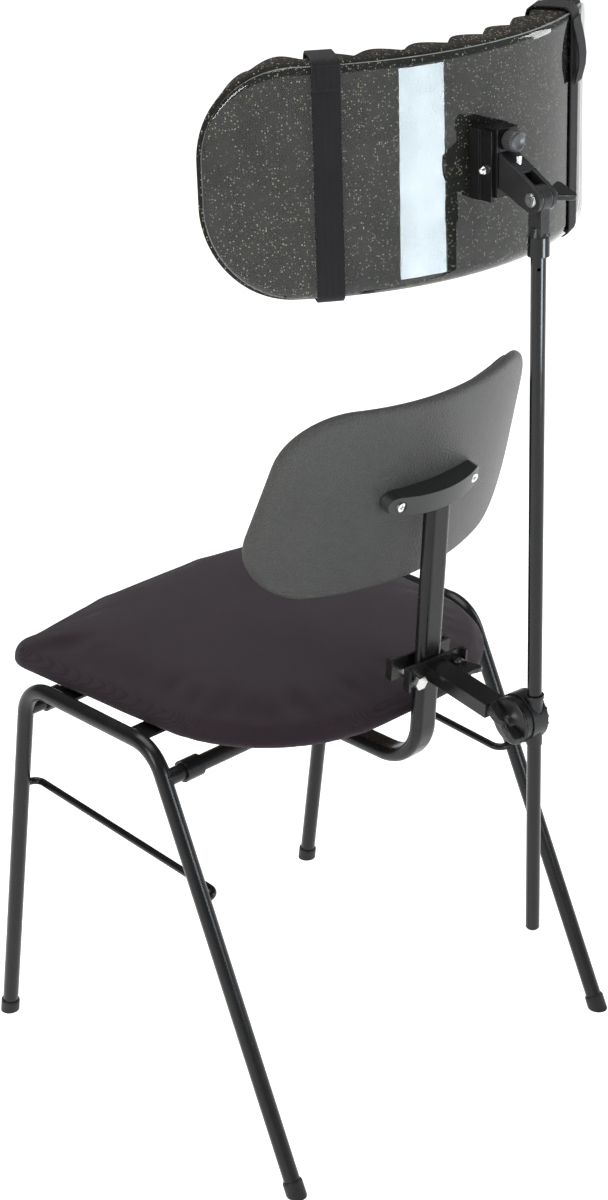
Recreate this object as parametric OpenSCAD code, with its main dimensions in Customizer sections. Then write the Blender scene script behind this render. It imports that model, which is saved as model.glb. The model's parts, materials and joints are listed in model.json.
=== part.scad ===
// Orchestra chair with a clamp-on mast that carries a curved acoustic shield.
// Millimetres. The floor is z = 0 and the sitter faces -Y.

/* [Chair frame] */
// outside diameter of the bent frame tube
tube_d = 17.2; // [15:0.1:22]
// wall of the frame tube
tube_wall = 1.5; // [1:0.1:2.5]
// height of the top run's centreline
rail_z = 440; // [400:1:460]
// half the width between the feet
foot_x = 232.5; // [200:0.5:260]
// half the width between the top runs
rail_x = 226.9; // [200:0.1:250]
// half the depth between the feet
foot_y = 238.2; // [200:0.1:260]
// front corner of the top run
rail_front = 159.2; // [120:0.1:200]
// rear corner of the top run
rail_rear = 45.4; // [20:0.1:90]
// bend radius of the frame tube
frame_bend = 42; // [30:1:60]
// diameter of the thin side rods
rod_d = 8; // [6:0.5:10]
// height of a side rod at the front leg
rod_front_z = 311; // [250:1:340]
// height of a side rod at the rear leg
rod_rear_z = 291.5; // [240:0.5:340]
// how far a side rod stands inboard of the legs
rod_inset = 20; // [12:1:30]
// height of both cross tubes
cross_z = 409; // [395:1:420]

/* [Seat] */
// underside of the seat board
seat_z = 440; // [438:0.5:450]
// thickness of the seat board
board_t = 11; // [8:0.5:15]
// top of the cushion
cushion_top = 486; // [480:1:500]
// half the width of the cushion at the front
seat_half_front = 216.5; // [200:0.5:217]
// half the width of the cushion at the rear
seat_half_rear = 204; // [190:1:216]
// front edge of the cushion
seat_front = 240; // [220:1:250]
// rear edge of the cushion
seat_rear = 186; // [160:1:188]

/* [Back] */
// lean of the back upright from vertical
upright_lean = 5.3; // [2:0.1:8]
// width of the flat oval upright
upright_w = 30; // [25:1:40]
// depth of the flat oval upright
upright_t = 15; // [12:0.5:20]
// centreline bend radius of the upright
upright_bend = 52; // [40:1:70]
// centreline height of the upright's lower run
spine_z = 387; // [380:1:390]
// lean of the backrest from vertical
back_lean = 15; // [5:0.5:20]
// rear surface radius of the backrest
back_r = 321; // [280:1:400]
// thickness of the backrest shell
shell_t = 10; // [6:0.5:14]
// thickness of the backrest pad
pad_t = 13; // [8:0.5:20]
// half the width of the backrest
back_half = 179; // [150:0.5:210]

/* [Clamp and arm] */
// height of the clamp on the upright
clamp_z = 505; // [500:1:550]
// how far the clamp sits turned on the upright
clamp_turn = 4.5; // [0:0.5:6]
// how far the clamp is pitched down to the rear
clamp_pitch = 6.4; // [4:0.1:8]
// length of the clamp plates
plate_len = 76; // [70:1:90]
// half the gap between the plates
plate_gap = 8.8; // [8.6:0.1:10]
// outer width of the arm tube
arm_w = 25; // [20:1:30]
// outer height of the arm tube
arm_h = 15; // [12:1:20]
// clamp centre to the swivel axis
arm_reach = 126.4; // [110:0.1:160]

/* [Mast] */
// outside diameter of the mast tube
mast_d = 14; // [12:0.5:16]
// lower end of the mast
mast_bottom = 257; // [200:1:300]
// upper end of the top sleeve
sleeve_top = 973; // [900:1:1000]
// height of the tilt axis at the mast's top
tilt_z = 1007; // [950:1:1030]
// how far the shield is turned about the mast
shield_turn = 4.2; // [0:0.1:30]

/* [Shield] */
// outer radius of the curved clear plate
plate_r = 299; // [200:1:400]
// thickness of the clear plate
plate_t = 3; // [2:0.5:5]
// length of the clear plate around its curve
plate_arc = 532; // [400:1:600]
// height of the clear plate
plate_h = 206; // [150:1:260]
// corner radius of the clear plate
plate_corner = 84; // [40:1:100]
// height of the shield's middle
shield_z = 1028; // [980:1:1080]
// mast axis to the plate's outer face
shield_reach = 70; // [60:1:90]
// thickness of the foam under its ridges
foam_t = 20; // [12:1:30]
// height of the foam ridges
ridge_h = 18; // [8:1:25]
// number of foam ridges
ridge_n = 11; // [7:1:15]
// width of the elastic straps
strap_w = 25; // [20:1:30]
// straps' distance from the middle around the curve
strap_arc = 155; // [100:1:200]

/* [Hidden] */
$fn = 64;
mid_x = -4.3234;
mid_y = 55.5147;
tube_r = tube_d / 2;
leg_front = atan((foot_y - rail_front) / rail_z);
leg_rear = atan((foot_y - rail_rear) / rail_z);
side_tilt = atan((foot_x - rail_x) / rail_z);
bend_f = 90 - leg_front;
bend_r = 90 - leg_rear;
tan_f = frame_bend * tan(bend_f / 2);
tan_r = frame_bend * tan(bend_r / 2);
front_len = sqrt(pow(foot_y - rail_front, 2) + pow(rail_z, 2));
rear_len = sqrt(pow(foot_y - rail_rear, 2) + pow(rail_z, 2));
function leg_y_front(z) = -foot_y + (foot_y - rail_front) * z / rail_z;
function leg_y_rear(z) = foot_y - (foot_y - rail_rear) * z / rail_z;
function leg_x(z) = foot_x - (foot_x - rail_x) * z / rail_z;
cross_front_y = leg_y_front(cross_z);
cross_rear_y = leg_y_rear(cross_z);
spine_front = -182;
up_y0 = 204;
up_z0 = 514.5;
function up_y(z) = up_y0 + tan(upright_lean) * (z - up_z0);
up_turn = 90 - upright_lean;
up_tan = upright_bend * tan(up_turn / 2);
up_cy = up_y(spine_z) - up_tan;
up_cz = spine_z + upright_bend;
up_sy = up_cy + upright_bend * cos(upright_lean);
up_sz = up_cz - upright_bend * sin(upright_lean);
up_top = 699;
up_len = (up_top - up_sz) / cos(upright_lean);
back_y = 211.5;
back_z = 700;
bolt_x = 28;
saddle_y = [cross_front_y, cross_rear_y];
tab_y = [-110, 8];
tab_x = 178;
joint_y = up_y(clamp_z) + arm_reach * cos(clamp_pitch) * cos(clamp_turn);
joint_x = arm_reach * cos(clamp_pitch) * sin(clamp_turn);
joint_z = clamp_z - arm_reach * sin(clamp_pitch);
bore_side = 14;
bore_back = 14.8;
mast_x = joint_x - bore_side * cos(clamp_turn) + bore_back * sin(clamp_turn);
mast_y = joint_y + bore_side * sin(clamp_turn) + bore_back * cos(clamp_turn);
curve_y = -shield_reach - plate_r;
half_arc = plate_arc / 2;
deg = 180 / PI;

// ---------- frames of reference ----------

module place() {
    translate([-mid_x, -mid_y, 0]) children();
}

module back_frame() {
    translate([0, back_y, back_z]) rotate([-back_lean, 0, 0]) children();
}

module clamp_frame() {
    translate([0, up_y(clamp_z), clamp_z])
        rotate([0, 0, -clamp_turn])
        rotate([-clamp_pitch, 0, 0])
        children();
}

module swivel_frame() {
    translate([joint_x, joint_y, joint_z]) rotate([0, 0, -clamp_turn]) children();
}

module mast_frame() {
    translate([mast_x, mast_y, 0]) rotate([0, 0, -shield_turn]) children();
}

// ---------- helpers ----------

// round cornered outline through circles [x, y, r] listed anticlockwise
function side_dir(a, b) =
    atan2(b[1] - a[1], b[0] - a[0])
    - acos((a[2] - b[2]) / sqrt(pow(b[0] - a[0], 2) + pow(b[1] - a[1], 2)));
function tangent(a, b) = [
    [a[0] + a[2] * cos(side_dir(a, b)), a[1] + a[2] * sin(side_dir(a, b))],
    [b[0] + b[2] * cos(side_dir(a, b)), b[1] + b[2] * sin(side_dir(a, b))]
];
module round_outline(c) {
    n = len(c);
    union() {
        polygon([for (i = [0:n - 1]) for (p = tangent(c[i], c[(i + 1) % n])) p]);
        for (q = c)
            translate([q[0], q[1]]) circle(q[2]);
    }
}

// the same outline with each corner arc cut into straight facets
function turn(a0, a1) = a1 - a0 < 0 ? a1 - a0 + 360 : a1 - a0;
module facet_outline(c, steps) {
    n = len(c);
    polygon([
        for (i = [0:n - 1])
            let (a0 = side_dir(c[(i + n - 1) % n], c[i]), a1 = side_dir(c[i], c[(i + 1) % n]))
            for (k = [0:steps])
                let (a = a0 + turn(a0, a1) * k / steps)
                [c[i][0] + c[i][2] * cos(a), c[i][1] + c[i][2] * sin(a)]
    ]);
}

// cylinder along X, from x0 to x1
module rod_x(r, x0, x1) {
    translate([x0, 0, 0]) rotate([0, 90, 0]) cylinder(r = r, h = x1 - x0);
}

// cylinder along Y, from y0 to y1
module rod_y(r, y0, y1) {
    translate([0, y0, 0]) rotate([-90, 0, 0]) cylinder(r = r, h = y1 - y0);
}

// section of the frame tube
module tube_ring(grow = 0) {
    difference() {
        circle(tube_r + grow);
        circle(tube_r - tube_wall - grow);
    }
}

// straight run of the frame tube along +Z, run 1 mm into the bends
module straight_tube(z0, z1) {
    translate([0, 0, z0]) linear_extrude(height = z1 - z0) tube_ring();
}

// arc of the frame tube in the YZ plane, a hair thicker than the straight runs;
// angles are measured from +Y towards +Z
module arc_yz(cy, cz, big_r, a0, a1) {
    translate([0, cy, cz]) rotate([90, 0, 90]) rotate([0, 0, a0])
        rotate_extrude(angle = a1 - a0) translate([big_r, 0]) tube_ring(0.05);
}

module side_path(from = 0) {
    union() {
        translate([0, -foot_y, 0]) rotate([-leg_front, 0, 0])
            straight_tube(from, front_len - tan_f + 1);
        arc_yz(-rail_front + tan_f, rail_z - frame_bend, frame_bend, 90, 180 - leg_front);
        translate([0, 0, rail_z]) rotate([-90, 0, 0])
            straight_tube(-rail_front + tan_f - 1, rail_rear - tan_r + 1);
        arc_yz(rail_rear - tan_r, rail_z - frame_bend, frame_bend, leg_rear, 90);
        translate([0, foot_y, 0]) rotate([leg_rear, 0, 0])
            straight_tube(from, rear_len - tan_r + 1);
    }
}

// s is 1 for the sitter's left, -1 for the right
module side_place(s) {
    translate([s * foot_x, 0, 0]) rotate([0, -s * side_tilt, 0]) children();
}

// room for a bend, for a leg with its bend, and for the top run
module bend_room(cy, a0, a1) {
    translate([0, cy, rail_z - frame_bend]) rotate([90, 0, 90]) rotate([0, 0, a0])
        rotate_extrude(angle = a1 - a0) translate([frame_bend, 0]) circle(tube_r + 0.1);
}

module front_leg(s) {
    side_place(s) union() {
        translate([0, -foot_y, 0]) rotate([-leg_front, 0, 0])
            cylinder(r = tube_r + 0.02, h = front_len + 1);
        bend_room(-rail_front + tan_f, 90, 182 - leg_front);
    }
}

module rear_leg(s) {
    side_place(s) union() {
        translate([0, foot_y, 0]) rotate([leg_rear, 0, 0])
            cylinder(r = tube_r + 0.02, h = rear_len + 1);
        bend_room(rail_rear - tan_r, leg_rear - 2, 90);
    }
}

module top_run(s) {
    side_place(s) translate([0, 0, rail_z]) rod_y(tube_r + 0.02, -300, 200);
}

module oval(grow = 0) {
    half = (upright_w - upright_t) / 2;
    union() {
        square([2 * half, upright_t + 2 * grow], center = true);
        translate([half, 0]) circle(upright_t / 2 + grow);
        translate([-half, 0]) circle(upright_t / 2 + grow);
    }
}

// grow widens the section and room lengthens the ends, for a cutter;
// the bend is a hair thicker than the straight runs, which reach 1 mm into it
module upright_path(grow = 0, room = 0) {
    union() {
        translate([0, up_cy + 1, spine_z]) rotate([90, 0, 0])
            linear_extrude(height = up_cy - spine_front + 1 + room) oval(grow);
        translate([0, up_cy, up_cz]) rotate([90, 0, 90]) rotate([0, 0, -90])
            rotate_extrude(angle = up_turn) translate([upright_bend, 0]) rotate(90) oval(grow + 0.05);
        translate([0, up_sy, up_sz]) rotate([-upright_lean, 0, 0]) translate([0, 0, -1])
            linear_extrude(height = up_len + 1 + room) oval(grow);
    }
}

// seat outline, drawn in by a margin and then evenly towards the seat's middle
seat_circles = [
    [-seat_half_front + 32, -seat_front + 54, 32],
    [-60, -seat_front + 100, 100],
    [60, -seat_front + 100, 100],
    [seat_half_front - 32, -seat_front + 54, 32],
    [seat_half_rear - 164, seat_rear - 164, 164],
    [-seat_half_rear + 164, seat_rear - 164, 164]
];
module seat_outline(inset, size = 1) {
    facet_outline([
        for (c = seat_circles)
            [c[0] * size, -20 + (c[1] + 20) * size, (c[2] - inset) * size]
    ], 14);
}

// backrest outline in its own plane, drawn in by a margin
function back_circles(inset) = [
    [-back_half + 61, -48, 61 - inset],
    [back_half - 61, -48, 61 - inset],
    [back_half - 80, 33, 68 - inset],
    [-back_half + 80, 33, 68 - inset]
];

module curved_skin(r_out, r_in) {
    difference() {
        translate([0, -back_r, -150]) cylinder(r = r_out, h = 300);
        translate([0, -back_r, -160]) cylinder(r = r_in, h = 320);
    }
}

// outline of the clear plate or foam as seen from the rear, grown by a margin
function plate_point(s, v, r) = [r * sin(s / r * deg), v];
function corner_points(cx, cy, rc, a0, r) = [
    for (i = [0:12]) plate_point(cx + rc * cos(a0 + i * 7.5), cy + rc * sin(a0 + i * 7.5), r)
];
module plate_outline(grow, r) {
    hx = half_arc + grow - plate_corner;
    hy = plate_h / 2 + grow * 0.4 - plate_corner;
    polygon(concat(
        corner_points(hx, hy, plate_corner, 0, r),
        corner_points(-hx, hy, plate_corner, 90, r),
        corner_points(-hx, -hy, plate_corner, 180, r),
        corner_points(hx, -hy, plate_corner, 270, r)
    ));
}

// foam section seen from above, with ridges on its inner side
foam_out = plate_r - plate_t - 0.4;
foam_in = foam_out - foam_t;
foam_span = (half_arc + 5.6) / plate_r * deg;
ridge_steps = ridge_n * 8;
function ridge(u) = ridge_h * pow(abs(sin(u * ridge_n * 180)), 1.4);
function foam_inner(i) = foam_in - ridge(i / ridge_steps);
function foam_angle(i) = -foam_span + 2 * foam_span * i / ridge_steps;
module foam_section() {
    difference() {
        circle(foam_out, $fn = 180);
        polygon(concat(
            [[0, -600], [-700, -600], [-700, 160]],
            [for (i = [0:ridge_steps]) foam_inner(i) * [sin(foam_angle(i)), cos(foam_angle(i))]],
            [[700, 160], [700, -600]]
        ));
    }
}

// ---------- chair frame ----------

module side_frame(s) {
    color([0.05, 0.05, 0.06])
        place()
        side_place(s)
        side_path(5);
}

module side_frame_left() {
    side_frame(1);
}

module side_frame_right() {
    side_frame(-1);
}

module side_rod(s) {
    y0 = leg_y_front(rod_front_z);
    y1 = leg_y_rear(rod_rear_z);
    drop = atan((rod_front_z - rod_rear_z) / (y1 - y0));
    run = (y1 - y0) / cos(drop);
    out_x = leg_x(rod_front_z);
    in_x = out_x - rod_inset;
    br = 12;
    color([0.05, 0.05, 0.06])
        place()
        difference() {
            mirror([s > 0 ? 0 : 1, 0, 0])
                translate([0, y0, rod_front_z]) rotate([-drop, 0, 0]) {
                    translate([in_x + br, 0, 0]) rod_x(rod_d / 2, 0, rod_inset - br);
                    translate([in_x + br, br, 0]) rotate([0, 0, 180])
                        rotate_extrude(angle = 90) translate([br, 0]) circle(rod_d / 2);
                    translate([in_x, 0, 0]) rod_y(rod_d / 2, br, run - br);
                    translate([in_x + br, run - br, 0]) rotate([0, 0, 90])
                        rotate_extrude(angle = 90) translate([br, 0]) circle(rod_d / 2);
                    translate([in_x + br, run, 0]) rod_x(rod_d / 2, 0, rod_inset - br);
                }
            front_leg(s);
            rear_leg(s);
        }
}

module side_rod_left() {
    side_rod(1);
}

module side_rod_right() {
    side_rod(-1);
}

module foot_cap(s, y, lean) {
    intersection() {
        difference() {
            translate([s * foot_x, 0, 0]) rotate([0, -s * side_tilt, 0])
                translate([0, y, 0]) rotate([lean, 0, 0]) {
                    translate([0, 0, -20]) cylinder(r = 10.4, h = 34);
                    translate([0, 0, 14]) cylinder(r1 = 10.4, r2 = 9.4, h = 2);
                }
            translate([s * foot_x, 0, 0]) rotate([0, -s * side_tilt, 0])
                translate([0, y, 0]) rotate([lean, 0, 0])
                translate([0, 0, 5]) cylinder(r = tube_r + 0.04, h = 30);
        }
        translate([s * foot_x - 60, y - 60, 0]) cube([120, 120, 60]);
    }
}

module foot_caps() {
    color([0.03, 0.03, 0.03])
        place()
        for (s = [-1, 1]) {
            foot_cap(s, -foot_y, -leg_front);
            foot_cap(s, foot_y, leg_rear);
        }
}

module cross_tube(y) {
    difference() {
        translate([0, y, cross_z]) rod_x(tube_r, -rail_x, rail_x);
        translate([0, y, cross_z]) rod_x(tube_r - tube_wall, -rail_x - 1, rail_x + 1);
        for (s = [-1, 1])
            if (y < 0)
                front_leg(s);
            else
                rear_leg(s);
        translate([0, y, cross_z - 20]) cylinder(r = 3.1, h = 20);
    }
}

module cross_tubes() {
    color([0.05, 0.05, 0.06])
        place()
        for (y = saddle_y)
            cross_tube(y);
}

module cross_collars() {
    color([0.05, 0.05, 0.06])
        place()
        for (y = saddle_y)
            for (s = [-1, 1])
                translate([s * (rail_x - 34), y, cross_z])
                    difference() {
                        rod_x(11.5, -11, 11);
                        rod_x(tube_r + 0.02, -12, 12);
                    }
}

// ---------- seat ----------

module seat_tab(s, y) {
    difference() {
        translate([s > 0 ? 168 : -224, y - 14, seat_z - 3.2]) cube([56, 28, 3]);
        top_run(s);
        translate([s * tab_x, y, seat_z - 10]) cylinder(r = 2.7, h = 20);
    }
}

module seat_tabs() {
    color([0.05, 0.05, 0.06])
        place()
        for (s = [-1, 1])
            for (y = tab_y)
                seat_tab(s, y);
}

module seat_screws() {
    color([0.6, 0.6, 0.6])
        place()
        for (s = [-1, 1])
            for (y = tab_y)
                translate([s * tab_x, y, seat_z - 5.9])
                    union() {
                        cylinder(r = 4.8, h = 2.6);
                        cylinder(r = 2.5, h = 13);
                    }
}

module seat_board() {
    color([0.45, 0.33, 0.2])
        place()
        difference() {
            translate([0, 0, seat_z]) linear_extrude(height = board_t) seat_outline(17);
            for (s = [-1, 1])
                for (y = tab_y)
                    translate([s * tab_x, y, seat_z - 1]) cylinder(r = 2.52, h = 8.2);
        }
}

// one flat layer of the cushion's crown, drawn in evenly towards the middle
module crown_layer(z0, z1, size) {
    translate([0, 0, z0]) linear_extrude(height = z1 - z0) seat_outline(0, size);
}

module seat_cushion() {
    base = seat_z + board_t;
    color([0.11, 0.08, 0.1])
        place()
        difference() {
            union() {
                translate([0, 0, seat_z + 0.2]) linear_extrude(height = board_t) seat_outline(3);
                translate([0, 0, base]) linear_extrude(height = 11) seat_outline(0);
                translate([0, 0, base + 11]) linear_extrude(height = 6) seat_outline(6);
                crown_layer(base + 17, base + 23, 0.9);
                crown_layer(base + 23, base + 28, 0.78);
                crown_layer(base + 28, base + 32, 0.62);
                crown_layer(base + 32, cushion_top, 0.42);
            }
            translate([0, 0, seat_z - 1]) linear_extrude(height = board_t + 1.3)
                seat_outline(16.7);
        }
}

// ---------- back ----------

module back_upright() {
    color([0.05, 0.05, 0.06])
        place()
        difference() {
            upright_path();
            upright_path(-tube_wall, 5);
            for (y = saddle_y)
                translate([0, y, spine_z - 20]) cylinder(r = 3.1, h = 40);
        }
}

module upright_end_plug() {
    color([0.03, 0.03, 0.03])
        place()
        translate([0, spine_front, spine_z]) {
            translate([0, -0.05, 0]) rotate([90, 0, 0]) linear_extrude(height = 3) oval();
            translate([0, 6, 0]) rotate([90, 0, 0])
                linear_extrude(height = 6.05) oval(-tube_wall - 0.05);
        }
}

module spine_saddles() {
    color([0.05, 0.05, 0.06])
        place()
        for (y = saddle_y)
            difference() {
                translate([-15, y - 12, spine_z + upright_t / 2]) cube([30, 24, 15]);
                translate([0, y, cross_z]) rod_x(tube_r + 0.02, -20, 20);
                translate([0, y, spine_z]) cylinder(r = 3.02, h = 40);
            }
}

module spine_bolts() {
    color([0.6, 0.6, 0.6])
        place()
        for (y = saddle_y)
            translate([0, y, spine_z - upright_t / 2 - 4])
                union() {
                    cylinder(r = 6, h = 4, $fn = 6);
                    cylinder(r = 3, h = 26);
                }
}

module back_shell() {
    color([0.19, 0.19, 0.18])
        place()
        back_frame()
        difference() {
            intersection() {
                curved_skin(back_r, back_r - shell_t);
                translate([0, 20, 0]) rotate([90, 0, 0]) linear_extrude(height = 160)
                    facet_outline(back_circles(0), 16);
            }
            for (s = [-1, 1])
                translate([s * 50, 0, -3]) rod_y(2.52, -12.2, 30);
        }
}

module back_pad() {
    color([0.03, 0.03, 0.03])
        place()
        back_frame()
        intersection() {
            curved_skin(back_r - shell_t - 0.3, back_r - shell_t - pad_t);
            translate([0, 15, 0]) rotate([90, 0, 0]) linear_extrude(height = 170)
                facet_outline(back_circles(6.5), 14);
        }
}

module back_bar() {
    color([0.12, 0.12, 0.12])
        place()
        difference() {
            back_frame()
                difference() {
                    intersection() {
                        translate([0, 21 - 130, -60]) cylinder(r = 130, h = 120);
                        translate([0, 60, -3]) rotate([90, 0, 0]) linear_extrude(height = 120)
                            round_outline([[-51, 0, 11], [51, 0, 11]]);
                    }
                    translate([0, -back_r, -100]) cylinder(r = back_r, h = 200);
                    for (s = [-1, 1])
                        translate([s * 50, 0, -3]) {
                            rod_y(2.52, -30, 30);
                            rod_y(5.3, 8.6, 30);
                        }
                }
            upright_path(0.05, 0.3);
        }
}

module back_screws() {
    color([0.75, 0.75, 0.75])
        place()
        back_frame()
        for (s = [-1, 1])
            translate([s * 50, 0, -3])
                union() {
                    rod_y(2.5, -12, 9);
                    difference() {
                        rod_y(4.9, 8.6, 11.6);
                        for (a = [0, 90])
                            rotate([0, a, 0]) translate([-0.6, 10.4, -2.8]) cube([1.2, 4, 5.6]);
                    }
                }
}

// ---------- clamp and arm ----------

module clamp_plate(flip) {
    half = plate_len / 2;
    difference() {
        union() {
            translate([-half, plate_gap, -12]) cube([plate_len, 2.5, 24]);
            translate([-half, plate_gap, -12]) cube([2.5, 9, 24]);
            translate([half - 2.5, plate_gap, -12]) cube([2.5, 9, 24]);
        }
        for (s = [-1, 1])
            translate([s * bolt_x, 0, -1]) rod_y(s * flip < 0 ? 3.05 : 3.02, 0, 30);
    }
}

module clamp_plate_rear() {
    color([0.07, 0.07, 0.07])
        place()
        clamp_frame()
        clamp_plate(1);
}

module clamp_plate_front() {
    color([0.07, 0.07, 0.07])
        place()
        clamp_frame()
        rotate([0, 0, 180])
        clamp_plate(-1);
}

module clamp_hex_bolt() {
    face = plate_gap + 2.5;
    color([0.7, 0.7, 0.68])
        place()
        clamp_frame()
        translate([bolt_x, 0, -1])
        union() {
            rod_y(3, -face - 5, face + 8);
            rod_y(4.4, face, face + 8);
            translate([0, face + 8, 0]) rotate([-90, 0, 0]) cylinder(r = 7.5, h = 6, $fn = 6);
            rod_y(5, -face - 3.5, -face);
        }
}

module clamp_weld_nut() {
    face = plate_gap + 2.5;
    color([0.6, 0.6, 0.6])
        place()
        clamp_frame()
        translate([-bolt_x, -face - 5, -1])
        difference() {
            rotate([-90, 0, 0]) cylinder(r = 5.8, h = 5, $fn = 6);
            rod_y(3.05, -1, 6);
        }
}

module clamp_wing() {
    face = plate_gap + 2.5;
    color([0.04, 0.04, 0.04])
        place()
        clamp_frame()
        translate([-bolt_x, 0, -1])
        union() {
            rod_y(3, -face - 7, face + 2);
            rod_y(6.6, face + 0.3, face + 9);
            translate([0, 0, -3]) linear_extrude(height = 6)
                polygon([[-5, face + 4], [5, face + 4], [13.3, face + 24], [10, face + 28],
                         [-10, face + 28], [-13.3, face + 24]]);
        }
}

module support_arm() {
    y0 = plate_gap + 2.5;
    y1 = arm_reach - 26;
    color([0.06, 0.06, 0.06])
        place()
        clamp_frame()
        difference() {
            translate([-arm_w / 2, y0, -arm_h / 2]) cube([arm_w, y1 - y0, arm_h]);
            translate([-arm_w / 2 + 1.5, y0 - 1, -arm_h / 2 + 1.5])
                cube([arm_w - 3, y1 - y0 + 2, arm_h - 3]);
        }
}

module arm_end() {
    y1 = arm_reach - 26;
    color([0.04, 0.04, 0.04])
        place()
        clamp_frame()
        difference() {
            union() {
                translate([-arm_w / 2 + 1.55, y1 - 25, -arm_h / 2 + 1.55])
                    cube([arm_w - 3.1, 25.1, arm_h - 3.1]);
                translate([-arm_w / 2, y1, -arm_h / 2]) cube([arm_w / 2 + 2.3, 10, arm_h]);
                translate([-4.7, y1, -arm_h / 2]) cube([7, 26, arm_h]);
                translate([0, arm_reach, 0]) rod_x(23.5, -4.7, 2.3);
            }
            translate([0, arm_reach, 0]) {
                rod_x(4.05, -40, 40);
                rod_x(25.6, -40, -4.7);
            }
        }
}

// ---------- swivel ----------

module hub_bore(r) {
    translate([-bore_side, bore_back, -60]) cylinder(r = r, h = 120);
}

module swivel_hub() {
    color([0.05, 0.05, 0.05])
        place()
        swivel_frame()
        difference() {
            rod_x(25, -23, -5);
            rod_x(4.02, -24, -4);
            hub_bore(7.85);
        }
}

module swivel_cap() {
    color([0.05, 0.05, 0.05])
        place()
        swivel_frame()
        difference() {
            union() {
                rod_x(22, -26, -23);
                for (a = [10:20:350])
                    rotate([a, 0, 0]) translate([0, 20, -1.2]) translate([-26, 0, 0]) cube([3, 3, 2.4]);
            }
            rod_x(4.02, -27, -22);
        }
}

module swivel_bolt() {
    color([0.6, 0.6, 0.6])
        place()
        swivel_frame()
        union() {
            rod_x(4, -26, 11);
            rod_x(7, -29, -26);
        }
}

module swivel_knob() {
    color([0.05, 0.05, 0.05])
        place()
        swivel_frame()
        difference() {
            union() {
                rod_x(24, 2.6, 5.6);
                rod_x(8.5, 2.6, 13);
                rotate([-32, 0, 0])
                    translate([0, 0, -4.5]) linear_extrude(height = 9)
                    polygon([[5, -23.8], [5, 23.8], [12, 23.8], [18, 19], [18, 6], [14, 0],
                             [18, -6], [18, -19], [12, -23.8]]);
            }
            rod_x(4.05, 2, 11.4);
        }
}

// ---------- mast ----------

module mast_bush() {
    color([0.03, 0.03, 0.03])
        place()
        translate([mast_x, mast_y, joint_z])
        difference() {
            union() {
                translate([0, 0, -25]) cylinder(r = 7.8, h = 50);
                translate([0, 0, 24.8]) cylinder(r = 9.2, h = 3.4);
            }
            translate([0, 0, -30]) cylinder(r = 7.03, h = 60);
        }
}

module mast_rod() {
    color([0.04, 0.04, 0.05])
        place()
        mast_frame()
        difference() {
            translate([0, 0, mast_bottom + 3]) cylinder(r = 7, h = 700);
            translate([0, 0, mast_bottom]) cylinder(r = 5.5, h = 720);
            translate([0, 0, 944]) rotate([0, 0, -40]) rod_y(1.6, 0, 10);
        }
}

module mast_end_plug() {
    color([0.03, 0.03, 0.03])
        place()
        mast_frame()
        translate([0, 0, mast_bottom])
        union() {
            cylinder(r1 = 5.6, r2 = 7, h = 2);
            translate([0, 0, 2]) cylinder(r = 7, h = 1);
            cylinder(r = 5.45, h = 18);
        }
}

module mast_sleeve() {
    color([0.12, 0.12, 0.12])
        place()
        mast_frame()
        difference() {
            translate([0, 0, sleeve_top - 18]) cylinder(r = 10, h = 18);
            translate([0, 0, sleeve_top - 20])
                cylinder(r = 7.02, h = mast_bottom + 703.02 - sleeve_top + 20);
        }
}

module mast_lug() {
    color([0.3, 0.3, 0.3])
        place()
        mast_frame()
        difference() {
            union() {
                translate([-5, -8, sleeve_top]) cube([10, 16, tilt_z - sleeve_top]);
                translate([0, 0, tilt_z]) rod_x(12, -5, 5);
                translate([0, 0, sleeve_top]) cylinder(r1 = 9.4, r2 = 6.5, h = 8);
            }
            translate([0, 0, tilt_z]) rod_x(3.55, -6, 6);
        }
}

module link_shape(inset) {
    round_outline([
        [0, tilt_z, 12 - inset],
        [-40, tilt_z + 31.4, 3 - inset / 3],
        [-40, tilt_z + 6, 3 - inset / 3]
    ]);
}

module link_cheek(x0, x1) {
    translate([x0, 0, 0]) rotate([90, 0, 90]) linear_extrude(height = x1 - x0)
        intersection() {
            link_shape(0);
            translate([-40.5, tilt_z - 30]) square([60, 90]);
        }
}

module tilt_link() {
    color([0.2, 0.2, 0.2])
        place()
        mast_frame()
        difference() {
            union() {
                link_cheek(6.2, 10.2);
                link_cheek(-10.2, -6.2);
                translate([-6.2, 0, 0]) rotate([90, 0, 90]) linear_extrude(height = 12.4)
                    intersection() {
                        difference() {
                            link_shape(0);
                            link_shape(3);
                        }
                        translate([-40.5, tilt_z + 8]) square([25, 60]);
                    }
            }
            translate([0, 0, tilt_z]) rod_x(3.52, -12, 12);
            translate([0, 0, tilt_z]) rod_x(7.4, 8.2, 12);
        }
}

module tilt_washers() {
    color([0.5, 0.5, 0.5])
        place()
        mast_frame()
        for (s = [-1, 1])
            translate([s * 5.65, 0, tilt_z])
                difference() {
                    rod_x(11.4, -0.5, 0.5);
                    rod_x(3.52, -1, 1);
                }
}

module tilt_bolt() {
    color([0.8, 0.8, 0.8])
        place()
        mast_frame()
        translate([0, 0, tilt_z])
        union() {
            rod_x(3.5, -15.5, 8.2);
            rod_x(6.6, 8.2, 10.6);
            rod_x(5, 10.6, 11.6);
        }
}

module tilt_wing() {
    color([0.04, 0.04, 0.04])
        place()
        mast_frame()
        translate([0, 0, tilt_z])
        difference() {
            union() {
                rod_x(7, -17.5, -10.5);
                rotate([-18, 0, 0]) translate([0, 0, -3]) linear_extrude(height = 6)
                    polygon([[-13, -5], [-13, 5], [-32, 13], [-36, 10], [-36, -10], [-32, -13]]);
            }
            rod_x(3.55, -15.8, -10);
        }
}

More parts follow.
